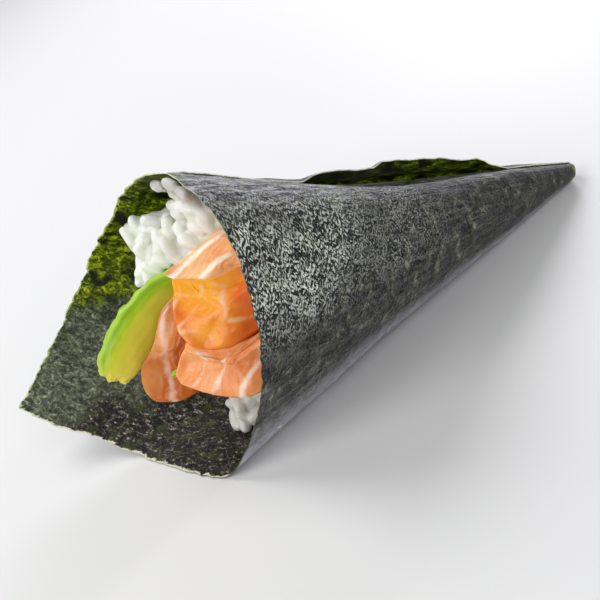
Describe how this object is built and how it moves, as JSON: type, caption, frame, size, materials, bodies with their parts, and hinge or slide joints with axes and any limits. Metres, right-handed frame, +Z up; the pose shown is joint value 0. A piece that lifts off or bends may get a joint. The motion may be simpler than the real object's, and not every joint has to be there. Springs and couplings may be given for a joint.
{
  "type": "temaki hand roll",
  "caption": "Cone of rolled nori sheet on its side, open at the wide end, filled with rice, slices of salmon and a crescent of avocado.",
  "frame": {"origin": "centre of the bounding box in plan, on the surface the roll lies on", "axes": "+X from the open mouth toward the closed tip, +Z up, -Y the side on which the mouth edge is cut furthest back"},
  "size_m": [0.1372, 0.0702, 0.0598],
  "materials": {
    "nori": "dried seaweed sheet, dark green, thin and slightly shiny",
    "rice": "cooked short grain rice, moist white",
    "salmon": "raw salmon, moist orange with pale fat lines",
    "avocado": "ripe avocado flesh, green at the rim and yellow inside"
  },
  "bodies": {
    "root": {"nori": "nori", "rice": "rice", "salmon_top": "salmon", "salmon_middle": "salmon", "salmon_lower": "salmon", "salmon_left": "salmon", "avocado": "avocado"}
  },
  "joints": []
}
